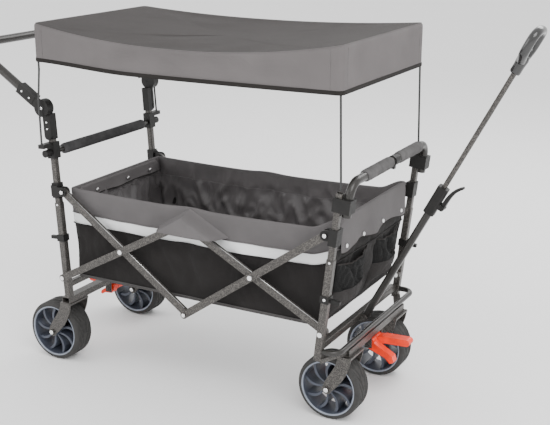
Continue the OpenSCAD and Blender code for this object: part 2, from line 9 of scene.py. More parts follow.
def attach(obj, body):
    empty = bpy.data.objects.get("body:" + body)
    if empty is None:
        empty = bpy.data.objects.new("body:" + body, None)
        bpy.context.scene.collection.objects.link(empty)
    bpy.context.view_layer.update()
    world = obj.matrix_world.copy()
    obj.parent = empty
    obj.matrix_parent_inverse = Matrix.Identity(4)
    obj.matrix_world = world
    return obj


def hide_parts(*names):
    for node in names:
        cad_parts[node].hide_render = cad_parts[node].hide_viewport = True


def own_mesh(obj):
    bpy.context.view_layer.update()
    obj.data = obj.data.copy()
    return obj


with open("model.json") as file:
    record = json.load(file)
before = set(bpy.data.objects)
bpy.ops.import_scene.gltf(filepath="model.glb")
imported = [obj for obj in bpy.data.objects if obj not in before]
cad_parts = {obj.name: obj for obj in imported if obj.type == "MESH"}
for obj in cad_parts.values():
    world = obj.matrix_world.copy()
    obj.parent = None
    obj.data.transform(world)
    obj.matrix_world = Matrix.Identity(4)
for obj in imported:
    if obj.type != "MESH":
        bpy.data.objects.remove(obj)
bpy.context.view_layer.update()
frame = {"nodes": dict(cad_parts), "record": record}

# ---------------------------------------------------------------- sizes, in millimetres
CENTRE_SHIFT = -84.174
REAR_LEAN = math.radians(3.4)
FRONT_LEAN = math.radians(6.9)
PULL_ANGLE = math.radians(62.1)
PIVOT_REACH = 442
PIVOT_HEIGHT = 291

TUB_REAR = -424
TUB_HALF = 229
RIM_HEIGHT = 569
BAND_BOTTOM = 497
STRIPE_BOTTOM = 463
HEM_TOP = 299
TUB_BOTTOM = 291
LINING_SEAM = 0.81
LINING_FOLDS = 22
BOARD_HALF = 206

CANOPY_HALF_LENGTH = 492
CANOPY_HALF_WIDTH = 276
CANOPY_TOP = 1064
CANOPY_BOTTOM = 941
CANOPY_SAG = 46
CANOPY_CORNER_FADE = 80

WHEEL_RADIUS = 95
AXLE_HALF = 49.7
WHEELS = {
    "rear_near": (-507, -212, "rear_wheel_near"),
    "rear_far": (-507, 212, "rear_wheel_far"),
    "front_near": (428, -162, "front_wheel_near"),
    "front_far": (428, 162, "front_wheel_far"),
}

LINK_HALF = 11
ACROSS = (0, 1, 0)


def metres(p):
    return Vector(((p[0] + CENTRE_SHIFT) / 1000, p[1] / 1000, p[2] / 1000))


def mix(a, b, t):
    return a + (b - a) * t


def smooth(t):
    t = min(1.0, max(0.0, t))
    return t * t * (3 - 2 * t)


def ripple(p, size, seed=0):
    return noise.noise(Vector((p[0] / size + seed, p[1] / size, p[2] / size)))


def crease(p, size, seed):
    """Sharp-edged cloth folds, from 0 to 1."""
    broad = 1 - abs(ripple((p[0] + 0.5 * p[2], p[1] + 0.5 * p[2], p[2]), size, seed)) * 2.4
    fine = 1 - abs(ripple(p, size * 0.45, seed + 5)) * 2.2
    return max(0, broad) ** 2 * 0.65 + max(0, fine) ** 2 * 0.35


# ---------------------------------------------------------------- materials
class Shader:
    """A node material on one Principled shader, in object coordinates."""

    def __init__(self, name, colour, roughness, **sockets):
        self.material = bpy.data.materials.new(name)
        self.material.use_nodes = True
        self.tree = self.material.node_tree
        self.surface = self.tree.nodes["Principled BSDF"]
        self.surface.inputs["Base Color"].default_value = (*colour, 1)
        self.surface.inputs["Roughness"].default_value = roughness
        for key, value in sockets.items():
            self.surface.inputs[key.replace("_", " ").title().replace("Ior", "IOR")].default_value = value
        self.coords = self.node("ShaderNodeTexCoord").outputs["Object"]
        self.colour = colour
        self.height = None

    def node(self, kind, **inputs):
        made = self.tree.nodes.new(kind)
        for key, value in inputs.items():
            made.inputs[key.replace("_", " ")].default_value = value
        return made

    def join(self, a, b):
        self.tree.links.new(a, b)

    def noise(self, scale, detail=4, stretch=None):
        made = self.node("ShaderNodeTexNoise", Scale=scale, Detail=detail)
        if stretch:
            mapping = self.node("ShaderNodeMapping")
            mapping.inputs["Scale"].default_value = stretch
            self.join(self.coords, mapping.inputs["Vector"])
            self.join(mapping.outputs["Vector"], made.inputs["Vector"])
        else:
            self.join(self.coords, made.inputs["Vector"])
        return made.outputs["Fac"]

    def cells(self, scale):
        made = self.node("ShaderNodeTexVoronoi", Scale=scale)
        self.join(self.coords, made.inputs["Vector"])
        return made.outputs["Distance"]

    def weave(self, pitch):
        """Warp and weft threads, pitch in metres, as a height."""
        bands = []
        for direction in ("X", "Y", "Z"):
            wave = self.node("ShaderNodeTexWave", Scale=0.5 / pitch / 3.14, Distortion=0.6)
            wave.bands_direction = direction
            self.join(self.coords, wave.inputs["Vector"])
            bands.append(wave.outputs["Fac"])
        total = bands[0]
        for band in bands[1:]:
            add = self.node("ShaderNodeMath")
            add.operation = "ADD"
            self.join(total, add.inputs[0])
            self.join(band, add.inputs[1])
            total = add.outputs[0]
        return total

    def ramp(self, value, low, high, start=0.3, end=0.7):
        made = self.node("ShaderNodeValToRGB")
        made.color_ramp.elements[0].position = start
        made.color_ramp.elements[1].position = end
        made.color_ramp.elements[0].color = (*low, 1)
        made.color_ramp.elements[1].color = (*high, 1)
        self.join(value, made.inputs["Fac"])
        return made.outputs["Color"]

    def vary_colour(self, value, spread_low, spread_high, start=0.3, end=0.7):
        low = tuple(c * spread_low for c in self.colour)
        high = tuple(min(1, c * spread_high) for c in self.colour)
        self.join(self.ramp(value, low, high, start, end), self.surface.inputs["Base Color"])
        return self

    def vary_roughness(self, value, low, high):
        span = self.node("ShaderNodeMapRange")
        span.inputs["To Min"].default_value = low
        span.inputs["To Max"].default_value = high
        self.join(value, span.inputs["Value"])
        self.join(span.outputs["Result"], self.surface.inputs["Roughness"])
        return self

    def bump(self, value, depth, strength=0.6):
        made = self.node("ShaderNodeBump", Strength=strength, Distance=depth)
        self.join(value, made.inputs["Height"])
        if self.height:
            self.join(self.height, made.inputs["Normal"])
        self.height = made.outputs["Normal"]
        self.join(self.height, self.surface.inputs["Normal"])
        return self


def hammertone():
    s = Shader("hammertone_coat", (0.023, 0.0212, 0.0195), 0.36, metallic=0.3)
    cells = s.cells(330)
    s.vary_colour(cells, 0.3, 4.5, 0.15, 0.8)
    s.bump(cells, 0.0006)
    return s.vary_roughness(s.noise(60), 0.28, 0.46).material


def moulded(name, colour, roughness, grain=900, depth=0.0002, **sockets):
    s = Shader(name, colour, roughness, **sockets)
    s.vary_colour(s.noise(35), 0.8, 1.2)
    s.bump(s.noise(grain), depth)
    return s.vary_roughness(s.noise(120), roughness * 0.8, min(1, roughness * 1.2)).material


def cloth(name, colour, pitch=0.0011, wrinkle=0.0015, roughness=0.85, contrast=0.1, **sockets):
    s = Shader(name, colour, roughness, sheen_weight=sockets.pop("sheen_weight", 0.02),
               specular_ior_level=sockets.pop("specular_ior_level", 0.12), **sockets)
    s.vary_colour(s.noise(9, 6), 1 - contrast, 1 + contrast)
    if wrinkle:
        s.bump(s.noise(16, 5), wrinkle * 3, 0.5)
    return s.bump(s.weave(pitch), pitch * 0.25, 0.5).material


def metal(name, colour, roughness):
    s = Shader(name, colour, roughness, metallic=1.0)
    s.bump(s.noise(500), 0.0001, 0.3)
    return s.vary_roughness(s.noise(90), roughness * 0.7, roughness * 1.4).material


FRAME_COAT = hammertone()
BLACK_PLASTIC = moulded("black_plastic", (0.012, 0.0115, 0.011), 0.5, specular_ior_level=0.25)
GLOSS_BLACK = moulded("gloss_black", (0.016, 0.016, 0.016), 0.22, depth=0.00004, coat_weight=0.4)
FIBRE_ROD = moulded("fibre_rod", (0.02, 0.02, 0.02), 0.35, depth=0.00005)
ORANGE = moulded("orange_plastic", (0.9, 0.035, 0.004), 0.4, depth=0.00008)
RIM_PLASTIC = moulded("rim_plastic", (0.045, 0.052, 0.072), 0.42)
RIM_EDGE = moulded("rim_edge", (0.21, 0.235, 0.285), 0.4)
TYRE_RUBBER = moulded("tyre_rubber", (0.026, 0.025, 0.024), 0.82, grain=400, depth=0.0004)
FOAM = moulded("foam_grip", (0.055, 0.054, 0.055), 0.93, grain=700, depth=0.0005, specular_ior_level=0.1)
LIGHT_FOAM = moulded("foam_light", (0.095, 0.092, 0.092), 0.93, grain=700, depth=0.0003,
                     specular_ior_level=0.1)
STEEL = metal("bright_rivet", (0.86, 0.86, 0.86), 0.25)
# Painted shade: the roof is the valance's cloth with a darker base colour, standing in for shade on the
# canopy's top.
ROOF_PAINTED_SHADE = cloth("canopy_roof_painted_shade", (0.045, 0.041, 0.040), contrast=0.06)
VALANCE = cloth("canopy_valance", (0.128, 0.118, 0.118), contrast=0.06)
BINDING = cloth("dark_binding", (0.02, 0.018, 0.017))
BAND = cloth("tub_band", (0.104, 0.098, 0.099))
STRIPE = cloth("silver_stripe", (0.76, 0.77, 0.77), roughness=0.45, contrast=0.04, sheen_weight=0.0)
BLACK_CLOTH = cloth("tub_black", (0.016, 0.0145, 0.0142), wrinkle=0.003, sheen_weight=0.05)
HEM = cloth("tub_hem", (0.07, 0.067, 0.066))
LINING_TOP = cloth("lining_top", (0.105, 0.098, 0.099), wrinkle=0.002)
LINING = cloth("lining", (0.1, 0.093, 0.094), wrinkle=0.0025, roughness=0.42, specular_ior_level=0.6)
POUCH = cloth("pouch_cloth", (0.028, 0.026, 0.0255), wrinkle=0.003)
MESH_CLOTH = cloth("pocket_mesh", (0.008, 0.008, 0.008), pitch=0.003, wrinkle=0.004, sheen_weight=0.02)
GUSSET = cloth("gusset_cloth", (0.118, 0.111, 0.112))
# Painted highlight: bright metal for strips along the link bars' upper edges, standing in for light caught on
# the coated edges.
EDGE_SHINE = metal("painted_highlight_edge", (0.7, 0.7, 0.7), 0.3)
MAT = cloth("mat_quilt", (0.05, 0.048, 0.048))
SNAP = metal("snap", (0.8, 0.8, 0.8), 0.3)

def dark_tube():
    s = Shader("dark_tube_coat", (0.018, 0.0168, 0.0155), 0.3, metallic=0.25)
    s.vary_colour(s.noise(420), 0.6, 2.2)
    return s.bump(s.noise(420), 0.0003).material


TUBE_COAT = dark_tube()
ROUND_TUBES = ("handlebar_tube", "rear_bar_tube", "bumper_tube", "push_arms", "push_crossbar", "pull_tube")
NODE_MATERIALS = {
    "frame_paint": FRAME_COAT,
    "alloy_tube": FRAME_COAT,
    "bright_steel": STEEL,
    "black_plastic": BLACK_PLASTIC,
    "fibre_rod": FIBRE_ROD,
    "gloss_black": GLOSS_BLACK,
    "foam_grip": FOAM,
    "canopy_fabric": VALANCE,
    "tub_fabric": BLACK_CLOTH,
    "mat_fabric": MAT,
    "orange_plastic": ORANGE,
    "tread_rubber": TYRE_RUBBER,
    "rim_plastic": RIM_PLASTIC,
}
for subpart in frame["record"]["subparts"]:
    node_object = frame["nodes"][subpart["node"]]
    node_object.data.materials.clear()
    coat = NODE_MATERIALS[subpart["material_slot"]]
    if subpart["node"] in ROUND_TUBES:
        coat = TUBE_COAT
    if subpart["node"] == "rear_hinge_plates":
        coat = BLACK_PLASTIC
    node_object.data.materials.append(coat)


# ---------------------------------------------------------------- mesh helpers
def make_object(name, points, faces, materials, face_material=None, shade=True):
    mesh = bpy.data.meshes.new(name)
    mesh.from_pydata([metres(p) for p in points], [], faces)
    for material in materials:
        mesh.materials.append(material)
    if face_material:
        for polygon, index in zip(mesh.polygons, face_material):
            polygon.material_index = index
    work = bmesh.new()
    work.from_mesh(mesh)
    bmesh.ops.recalc_face_normals(work, faces=work.faces)
    work.to_mesh(mesh)
    work.free()
    mesh.shade_smooth() if shade else mesh.shade_flat()
    made = bpy.data.objects.new(name, mesh)
    bpy.context.collection.objects.link(made)
    return made


def grid(name, rows, materials, pick=None, closed=False, caps=False):
    """A sheet or tube through rows of points; closed joins each row's ends."""
    width = len(rows[0])
    points = [p for row in rows for p in row]
    faces, chosen = [], []
    for i in range(len(rows) - 1):
        for j in range(width if closed else width - 1):
            k = (j + 1) % width
            faces.append((i * width + j, i * width + k, (i + 1) * width + k, (i + 1) * width + j))
            chosen.append(pick(i, j) if pick else 0)
    if caps:
        last = (len(rows) - 1) * width
        faces.append(tuple(range(width)))
        faces.append(tuple(last + j for j in range(width)))
        chosen += [chosen[0], chosen[-1]]
    return make_object(name, points, faces, materials, chosen)


def sweep(name, path, radii, material, closed=False, steps=14, twist_up=(0, 0, 1)):
    """A tube along path. radii is (across, along up), or a function of the share of the path."""
    count = len(path)
    rows = []
    for i, p in enumerate(path):
        ahead = path[(i + 1) % count] if closed or i < count - 1 else path[i]
        behind = path[i - 1] if closed or i > 0 else path[i]
        tangent = (Vector(ahead) - Vector(behind)).normalized()
        side = tangent.cross(Vector(twist_up))
        side = side.normalized() if side.length > 1e-4 else Vector((0, 1, 0))
        up = side.cross(tangent).normalized()
        across, along = radii(i / (count - 1)) if callable(radii) else radii
        rows.append([
            Vector(p) + side * across * math.cos(a) + up * along * math.sin(a)
            for a in (2 * math.pi * k / steps for k in range(steps))
        ])
    if closed:
        rows.append(rows[0])
    return grid(name, rows, [material], closed=True, caps=not closed)


def lathe(name, centre, axis, profile, materials, steps=96):
    """Turns profile, a list of (radius, height along axis), about axis."""
    turn = Vector((0, 0, 1)).rotation_difference(Vector(axis)).to_matrix()
    rows = []
    for radius, height in profile:
        row = []
        for k in range(steps):
            a = 2 * math.pi * k / steps
            row.append(Vector(centre) + turn @ Vector((radius * math.cos(a), radius * math.sin(a), height)))
        rows.append(row)
    return grid(name, rows, materials, closed=True, caps=True)


def turned_ring(name, centre, axis, profile, material, steps=96, relief=None):
    """A turned ring whose section, a list of (radius, height), closes on itself."""
    turn = Vector((0, 0, 1)).rotation_difference(Vector(axis)).to_matrix()
    rows = []
    for k in range(steps):
        a = 2 * math.pi * k / steps
        row = []
        for i, (r, height) in enumerate(profile):
            r -= relief(i, k) if relief else 0
            row.append(Vector(centre) + turn @ Vector((r * math.cos(a), r * math.sin(a), height)))
        rows.append(row)
    rows.append(rows[0])
    return grid(name, rows, [material], closed=True)


def soften(piece, levels=1):
    modifier = piece.modifiers.new("smooth", "SUBSURF")
    modifier.levels = modifier.render_levels = levels
    return piece


def fold_with(piece):
    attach(piece, "rear_upper")
    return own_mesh(piece)


# ---------------------------------------------------------------- canopy
def canopy_outline(corner, per_side=(56, 30), corner_steps=6):
    """Points round the canopy's plan, with the plan's corner radius."""
    points = []
    sides = [((-1, -1), (1, -1)), ((1, -1), (1, 1)), ((1, 1), (-1, 1)), ((-1, 1), (-1, -1))]
    length, width = CANOPY_HALF_LENGTH, CANOPY_HALF_WIDTH
    for n, (a, b) in enumerate(sides):
        start = Vector((a[0] * length, a[1] * width))
        end = Vector((b[0] * length, b[1] * width))
        along = (end - start).normalized()
        count = per_side[n % 2]
        for k in range(count + 1):
            points.append(start + along * mix(corner, (end - start).length - corner, k / count))
        centre = end - along * corner + Vector((-along.y, along.x)) * corner
        first = math.atan2(-along.x, along.y)
        for k in range(1, corner_steps):
            a1 = first + math.pi / 2 * k / corner_steps
            points.append(centre + Vector((math.cos(a1), math.sin(a1))) * corner)
    return points


def roof_drop(x, y):
    """How far the roof hangs below the hoops: most at the middle of the long edges."""
    t = min(1.0, abs(x) / CANOPY_HALF_LENGTH)
    edge = abs(y) / CANOPY_HALF_WIDTH
    side = edge ** 2 * (1.0 if y < 0 else 0.42) + (1 - edge ** 2) * 0.8
    return CANOPY_SAG * (1 - t ** 2.1) * side


def canopy_hem(x):
    """Height of the valance's bottom edge, which droops between the hoops."""
    return CANOPY_BOTTOM + 14 * smooth((-x - 150) / 340) - 3 * (1 - (x / CANOPY_HALF_LENGTH) ** 2)


def build_canopy():
    outline = canopy_outline(16)
    rows, kinds = [], []

    def add(inset, drop, kind):
        row = []
        for p in outline:
            x, y = p.x * (1 - inset), p.y * (1 - inset)
            top = CANOPY_TOP - roof_drop(p.x * (1 - inset), p.y * (1 - inset))
            z = mix(top, canopy_hem(p.x), drop)
            slack = math.sin(math.pi * min(1, drop)) if drop > 0 else 0
            wave = (ripple((p.x, p.y, z), 120, 3) * 12 + 5 * crease((p.x, p.y, z), 150, 2)) * slack
            middle = 1 - (abs(p.x) / CANOPY_HALF_LENGTH) ** 2
            pull = Vector((p.x / CANOPY_HALF_LENGTH, p.y / CANOPY_HALF_WIDTH)).normalized()
            clear = max(smooth((CANOPY_HALF_LENGTH - abs(p.x)) / CANOPY_CORNER_FADE),
                        smooth((CANOPY_HALF_WIDTH - abs(p.y)) / CANOPY_CORNER_FADE))
            inward = (slack * (3 + 7 * middle) - wave) * clear
            if drop > 0:
                x -= pull.x * max(0, inward) * (abs(p.x) > CANOPY_HALF_LENGTH - 20)
                y -= pull.y * max(0, inward)
            else:
                z -= (6 * abs(ripple((x, y, 0), 160, 7)) * smooth(inset / 0.1)
                      * smooth((1 - abs(p.x) / CANOPY_HALF_LENGTH) * 6))
            row.append((x, y, z))
        rows.append(row)
        kinds.append(kind)

    for inset in (0.985, 0.9, 0.8, 0.7, 0.6, 0.5, 0.4, 0.3, 0.2, 0.12, 0.06, 0.025):
        add(inset, 0, 0)
    for inset, drop in ((0.008, 0.012), (0.001, 0.05), (0, 0.1), (0, 0.18), (0, 0.28), (0, 0.4),
                        (0, 0.52), (0, 0.64), (0, 0.76), (0, 0.86), (0, 0.94), (0, 1.0)):
        add(inset, drop, 1)
    width = len(outline)
    faces, chosen = [], []
    for i in range(len(rows) - 1):
        for j in range(width):
            k = (j + 1) % width
            faces.append((i * width + j, i * width + k, (i + 1) * width + k, (i + 1) * width + j))
            chosen.append(kinds[i])
    faces.append(tuple(range(width)))
    chosen.append(0)
    canopy = make_object("canopy_sheet", [p for row in rows for p in row], faces, [ROOF_PAINTED_SHADE, VALANCE], chosen)
    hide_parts("canopy_cover")
    fold_with(canopy)
    edge = [Vector((p[0], p[1], p[2] + 3)) for p in rows[-1]]
    binding = sweep("canopy_binding", edge, (1.6, 6), BINDING, closed=True, steps=10)
    fold_with(binding)
    seam_path = [Vector((p[0], p[1], p[2])) for p in rows[12]]
    seam = sweep("canopy_seam", seam_path, (1.3, 1.3), VALANCE, closed=True, steps=8)
    fold_with(seam)
    for a, b in ((462, 276), (492, 246)):
        for n in range(4):
            corner = Vector(((1, 1, -1, -1)[n] * a, (-1, 1, 1, -1)[n] * b))
            j = min(range(width), key=lambda k: (outline[k] - corner).length)
            stitch = sweep(f"canopy_stitch_{a}_{n}", [Vector(row[j]) for row in rows[12:]], (0.6, 0.6),
                           VALANCE, steps=8)
            fold_with(stitch)


build_canopy()


# ---------------------------------------------------------------- tub
def front_wall(z):
    """X of the tub's front wall, which flares out towards its top."""
    belly = min(1, max(0, z - TUB_BOTTOM) / 200) ** 0.6
    return 414 + 49 * belly + 9 * smooth((z - 520) / 78)


def rear_wall(z):
    return mix(-410, TUB_REAR, (z - TUB_BOTTOM) / (RIM_HEIGHT - TUB_BOTTOM))


def rim_height(x):
    rise = 27 * smooth((x - 385) / 80)
    sag = 7 * (1 - (x / 440) ** 2) if abs(x) < 440 else 0
    peak = 5 * math.exp(-((x - 2) / 55) ** 2)
    return RIM_HEIGHT + rise - sag + peak


def tub_ring(level, inset, bulge, seed, corner=16, counts=(150, 74), folds=0):
    """One ring of the tub. level runs from 0 at the bottom to 1 at the rim."""
    ring = []
    for n in range(4):
        count = counts[n % 2]
        for k in range(count):
            t = k / count
            x_share = (t, 1, 1 - t, 0)[n]
            y_share = (0, t, 1, 1 - t)[n]
            guess = mix(TUB_REAR, 440, x_share)
            z = mix(TUB_BOTTOM, rim_height(guess), level)
            low_x, high_x = rear_wall(z) + inset, front_wall(z) - inset
            x = mix(low_x, high_x, x_share)
            z = mix(TUB_BOTTOM, rim_height(x), level)
            half = TUB_HALF - inset
            y = mix(-half, half, y_share)
            along = t * 4 * (1 - t)
            belly = math.sin(math.pi * min(1, max(0, level)))
            swell = bulge * along * belly
            swell += ripple((x, y, z * 1.4), 70, seed) * 6 * belly ** 0.5 * (bulge != 0)
            swell -= folds * belly ** 0.4 * crease((x, y, z * 0.6), 85, seed) if folds else 0
            corner_pull = corner * (1 - min(1, t * count / 3)) * 0.2
            out = {0: (0, -1), 1: (1, 0), 2: (0, 1), 3: (-1, 0)}[n]
            x += out[0] * (swell - corner_pull)
            y += out[1] * (swell - corner_pull)
            ring.append((x, y, z))
    return ring


def side_of(j, counts=(150, 74)):
    total = 0
    for n in range(4):
        total += counts[n % 2]
        if j < total:
            return n
    return 3


def level_of(z):
    return (z - TUB_BOTTOM) / (RIM_HEIGHT - TUB_BOTTOM)


def build_tub():
    pieces = []
    heights = [TUB_BOTTOM, 295, HEM_TOP, 305, *range(312, 460, 8), STRIPE_BOTTOM, 474, 486,
               BAND_BOTTOM, 512, 528, 545, 560]
    rows = [tub_ring(level_of(z), 0, 3.0, 1, folds=7 * smooth((BAND_BOTTOM - z) / 50)) for z in heights]
    rolled_rim = ((1.0, 0.5), (1.012, 2.5), (1.006, 5.5), (0.985, 6.5))
    rows += [tub_ring(level, inward, 0, 1) for level, inward in rolled_rim]
    tops = heights + [600] * 4
    kinds = []
    for z in tops:
        kinds.append(3 if z < HEM_TOP else 0 if z < STRIPE_BOTTOM else 1 if z < BAND_BOTTOM else 2)

    def pick(i, j):
        kind = kinds[i]
        if side_of(j) in (1, 3) and kind == 1:
            return 0
        return kind

    outer = grid("tub_outer", rows, [BLACK_CLOTH, STRIPE, BAND, HEM], pick=pick, closed=True)
    base = tub_ring(0, 0, 0, 1)
    nest = [[(p[0] * s + 2 * (1 - s), p[1] * s, TUB_BOTTOM - 0.5) for p in base]
            for s in (1, 0.96, 0.92, 0.885)]
    bottom = grid("tub_bottom", nest, [BLACK_CLOTH], closed=True)
    lining_levels = [0.99, 0.96, 0.93, 0.9, 0.87, 0.84, 0.81] + [0.78 - 0.03 * k for k in range(26)]
    lining_rows = [tub_ring(v, 6.5, 0 if v > 0.97 else -1.5, 9, folds=LINING_FOLDS) for v in lining_levels]
    lining = grid("tub_lining", lining_rows, [LINING_TOP, LINING],
                  pick=lambda i, j: 0 if lining_levels[i] > LINING_SEAM else 1, closed=True)
    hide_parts("tub_basket")
    for piece in (outer, bottom, lining):
        fold_with(piece)
    pieces += [bottom]
    seam_path = [Vector(p) for p in tub_ring(LINING_SEAM, 7.5, -1.5, 9, folds=LINING_FOLDS)]
    seam = sweep("lining_seam", seam_path, (0.9, 1.3), LINING, closed=True, steps=8)
    fold_with(seam)
    for side in (-1, 1):
        pieces.append(build_gusset(side))
        build_inner_gusset(side)
    build_hem_seams()
    # The base under each board is a sheet of its own, so that it turns with the board.
    for node, low_x, high_x in (("floor_rear", -406, -1), ("floor_front", 1, 397)):
        under = [[(mix(low_x, high_x, i / 12), mix(-BOARD_HALF, BOARD_HALF, k / 8), TUB_BOTTOM + 2)
                  for k in range(9)] for i in range(13)]
        half = grid(f"tub_base_{node}", under, [BLACK_CLOTH])
        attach(half, node)


def distance_inside(p, a, b):
    """Distance of p from the line a to b, in the plane of the tub's side."""
    line = (b - a).normalized()
    away = p - a
    return abs(line.x * away.y - line.y * away.x)


def build_gusset(side):
    """The grey triangle sewn to the band, drawn out over the joint of the lift bars."""
    apex, left, right = Vector((6, 567)), Vector((-104, 499)), Vector((134, 499))
    steps = 40
    rows = []
    for i in range(steps + 1):
        v = i / steps
        row = []
        for k in range(steps + 1):
            t = k / steps
            p = apex.lerp(left, v).lerp(apex.lerp(right, v), t)
            rise = smooth(min(distance_inside(p, apex, left) / 13, distance_inside(p, apex, right) / 20))
            pucker = 2.2 * ripple((p.x, 0, p.y), 22, 4) * rise
            fold = 3.5 * math.exp(-((p.x - 14 - (567 - p.y) * 0.25) / 7) ** 2) * rise
            y = side * (TUB_HALF + 1.5 + 45.5 * rise + pucker * (1 - v) + fold * (1 - v))
            row.append((p.x, y, p.y - 4 * math.sin(math.pi * t) * v))
        rows.append(row)
    name = "gusset_near" if side < 0 else "gusset_far"
    piece = grid(name, rows, [GUSSET])
    fold_with(piece)
    edge = sweep(name + "_seam", [Vector(p) for p in rows[-1]], (0.8, 1.2), GUSSET, steps=8)
    fold_with(edge)
    return edge


def build_inner_gusset(side):
    """Stitched triangle on the lining at the middle of each long side."""
    y = side * (TUB_HALF - 11)
    path = []
    for a, b in (((-70, 513), (0, 556)), ((0, 556), (72, 512))):
        path += [Vector((mix(a[0], b[0], k / 12), y, mix(a[1], b[1], k / 12))) for k in range(13)]
    name = "inner_gusset_near" if side < 0 else "inner_gusset_far"
    piece = sweep(name, path, (1.2, 1.2), BINDING, steps=8)
    fold_with(piece)


def build_hem_seams():
    """Rolled seams above and below the reflective stripe and along the bottom hem."""
    seams = (("seam_band", BAND_BOTTOM, BAND), ("seam_stripe", STRIPE_BOTTOM, BLACK_CLOTH),
             ("seam_hem", HEM_TOP, HEM))
    for name, z, material in seams:
        path = [Vector(p) for p in tub_ring(level_of(z), -0.8, 3.0, 1)]
        piece = sweep(name, path, (1.5, 1.8), material, closed=True, steps=8)
        fold_with(piece)


build_tub()


def build_end_flap(name, x_of, out, heights, half, snap_height, snaps, material, slack=1.0):
    """A grey flap folded over one end of the tub, with snaps along its free edge."""
    over = [(-9, -3), (-6, 2), (0, 4), (4, 2)]
    rows = []
    for i in range(len(over) + 12):
        v = max(0, i - len(over) + 1) / 12
        row = []
        for k in range(61):
            t = k / 60
            y = mix(-half, half, t)
            z = mix(heights[0], heights[1], v)
            x = x_of(z) + out * 5
            if i < len(over):
                x, z = x_of(heights[0]) + out * over[i][0], heights[0] + over[i][1]
            loose = slack * v ** 1.5
            x += out * loose * (7 + 6 * math.sin(t * 17) + 9 * ripple((0, y, z), 55, 5))
            z -= 5 * loose * math.sin(t * 14 + 1) + 13 * smooth((abs(2 * t - 1) - 0.9) / 0.1) * (1 - v)
            row.append((x, y, z))
        rows.append(row)
    piece = soften(grid(name, rows, [material]))
    fold_with(piece)
    edge = sweep(name + "_edge", [Vector(p) for p in rows[-1]], (1.2, 1.6), BINDING, steps=8)
    fold_with(edge)
    for n, y in enumerate(snaps):
        near = min((p for p in rows[-3]), key=lambda p: abs(p[1] - y))
        snap = lathe(f"{name}_snap{n}", (near[0] + out * 1.5, y, snap_height), (out, 0, 0),
                     [(6, -2), (6, 0.5), (5, 2), (3.5, 2.6), (0.4, 2.8)], [SNAP], steps=24)
        fold_with(snap)


build_end_flap("front_flap", lambda z: 467, 1, (597, 512), 226, 524, (-200, -84, 52, 172), BAND)
build_end_flap("rear_flap", lambda z: rear_wall(z) + 12, 1, (564, 530), 212, 543, (-127, 33, 150), LINING_TOP,
               slack=0.3)


def build_pocket(name, centre_y, half, top, bottom):
    """A pouch on the tub's front end: slack mesh above, a fuller cloth cup below."""
    count = 30
    solid_from = 15
    rows = []
    for i in range(count + 1):
        v = i / count
        row = []
        for k in range(41):
            t = k / 40
            y = centre_y + mix(-half, half, t) * mix(1.0, 0.94, v)
            belly = math.sin(math.pi * t)
            z = mix(top, bottom, v) - (16 * (1 - v) - 10 * v) * belly
            full = mix(0.5, 1.0, smooth(v / 0.6)) * (1 - 0.93 * smooth((v - 0.72) / 0.28))
            depth = 34 * belly ** 0.6 * full
            slack = 1 if i < solid_from else 0.35
            folds = 17 * slack * crease((0, y * 0.8, z), 60, 11 + centre_y) * belly ** 0.5
            row.append((front_wall(z) + 1.5 + max(0, depth - folds), y, z))
        rows.append(row)
    piece = grid(name, rows, [MESH_CLOTH, POUCH], pick=lambda i, j: int(i >= solid_from))
    fold_with(piece)
    for n, i in (("hem", 0), ("seam", solid_from)):
        trim = sweep(f"{name}_{n}", [Vector(p) for p in rows[i]], (1.6, 2.6), BINDING if i == 0 else POUCH,
                     steps=10)
        fold_with(trim)


build_pocket("pocket_near", -126, 96, 474, 306)
build_pocket("pocket_far", 112, 84, 474, 316)


# ---------------------------------------------------------------- floor mats
def inflate(piece, pinned, pressure, cap):
    """Runs a short cloth simulation with air pressure and keeps its shape.

    No point moves by more than cap metres."""
    group = piece.vertex_groups.new(name="seams")
    group.add(pinned, 1.0, "REPLACE")
    cloth_modifier = piece.modifiers.new("puff", "CLOTH")
    settings = cloth_modifier.settings
    settings.quality = 6
    settings.mass = 0.3
    settings.tension_stiffness = 12
    settings.compression_stiffness = 12
    settings.bending_stiffness = 0.4
    settings.use_pressure = True
    settings.uniform_pressure_force = pressure
    settings.effector_weights.gravity = 0
    settings.vertex_group_mass = group.name
    settings.shrink_min = -0.05
    cloth_modifier.collision_settings.use_collision = False
    rest = [v.co.copy() for v in piece.data.vertices]
    scene = bpy.context.scene
    for step in range(1, 19):
        scene.frame_set(step)
    evaluated = piece.evaluated_get(bpy.context.evaluated_depsgraph_get())
    moved = [v.co.copy() for v in evaluated.data.vertices]
    piece.modifiers.remove(cloth_modifier)
    piece.vertex_groups.clear()
    for vertex, start, end in zip(piece.data.vertices, rest, moved):
        shift = end - start
        if shift.length > cap:
            shift = shift.normalized() * cap
        vertex.co = start + shift
    scene.frame_set(1)


def build_mat(name, x_low, x_high, node):
    """A quilted pad: two skins sewn together at the edge and along the quilt lines."""
    across, along = 40, 40
    half = 204
    low, high = 297.5, 302.0
    quilt = 10
    points, faces, pinned = [], [], []
    index = {}
    for layer in (0, 1):
        for i in range(along + 1):
            for j in range(across + 1):
                edge = i in (0, along) or j in (0, across)
                seam = i % quilt == 0 or j % quilt == 0
                if edge and layer:
                    index[layer, i, j] = index[0, i, j]
                    continue
                z = (low + high) / 2 if edge else (high if layer else low)
                if seam and not edge:
                    z += -1.2 if layer else 0.8
                index[layer, i, j] = len(points)
                if seam:
                    pinned.append(len(points))
                points.append((mix(x_low, x_high, i / along), mix(-half, half, j / across), z))
    for layer in (0, 1):
        for i in range(along):
            for j in range(across):
                quad = [index[layer, i + a, j + b] for a, b in ((0, 0), (1, 0), (1, 1), (0, 1))]
                faces.append(tuple(quad if layer else reversed(quad)))
    piece = make_object(name, points, faces, [MAT])
    inflate(piece, pinned, 3.0, 0.0035)
    soften(piece)
    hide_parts(node)
    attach(piece, node)


build_mat("mat_rear", -403, -1, "floor_rear")
build_mat("mat_front", 1, 393, "floor_front")


